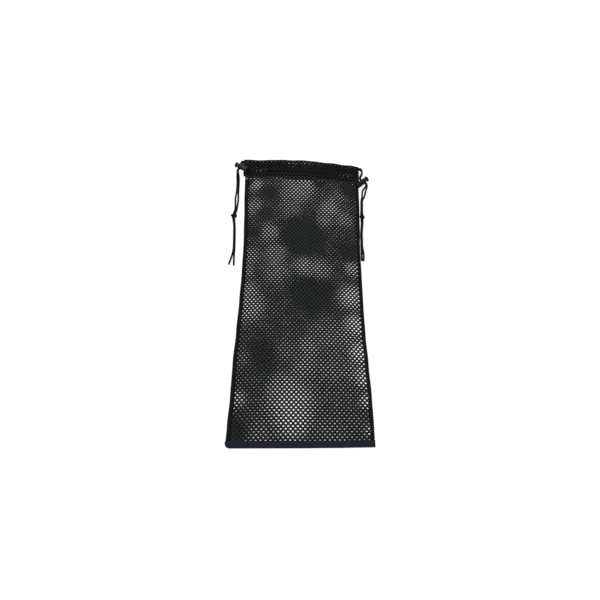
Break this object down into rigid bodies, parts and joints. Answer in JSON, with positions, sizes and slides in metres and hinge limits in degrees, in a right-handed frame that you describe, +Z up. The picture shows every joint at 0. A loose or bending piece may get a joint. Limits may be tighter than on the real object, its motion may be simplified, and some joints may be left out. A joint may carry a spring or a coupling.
{
  "type": "mesh dive gear bag",
  "caption": "Flat drawstring bag of coarse black net with folded side seams, a taped foot hem, a cord casing at the mouth and a spring cord lock on each side.",
  "frame": {"origin": "on the surface that the bag lies on, under the middle of its bounding box, leaving out the free cords and what is on them", "axes": "+Z up from the surface, +Y along the bag from its foot to its mouth, +X across it to the right as seen from the foot"},
  "size_m": [0.3337, 0.707, 0.0278],
  "materials": {
    "net": "matte knitted net",
    "folded_net": "matte folded net",
    "hem_tape": "matte woven tape",
    "cord": "braided cord",
    "lock_plastic": "satin moulded plastic"
  },
  "bodies": {
    "bag": {"front_panel": "net", "front_panel_top": "net", "back_panel": "net", "left_seam": "folded_net", "right_seam": "folded_net", "bottom_hem": "hem_tape", "front_casing": "folded_net", "back_casing": "folded_net", "front_cord": "cord", "back_cord": "cord", "left_front_strand": "cord", "left_back_strand": "cord", "left_front_tail": "cord", "left_back_tail": "cord", "right_front_strand": "cord", "right_back_strand": "cord", "right_front_tail": "cord", "right_back_tail": "cord", "left_knot": "cord", "right_knot": "cord", "left_lock_body": "lock_plastic", "right_lock_body": "lock_plastic"},
    "left_button": {"left_lock_button": "lock_plastic"},
    "right_button": {"right_lock_button": "lock_plastic"}
  },
  "joints": [
    {"name": "left_button_press", "type": "slide", "parent": "bag", "child": "left_button", "axis": [0.8164, -0.5507, 0.1737], "range_m": [0, 0.0028], "stiffness_N_per_m": 300, "springref_m": -0.004},
    {"name": "right_button_press", "type": "slide", "parent": "bag", "child": "right_button", "axis": [-0.7011, -0.7011, 0.1305], "range_m": [0, 0.0028], "stiffness_N_per_m": 300, "springref_m": -0.004}
  ]
}
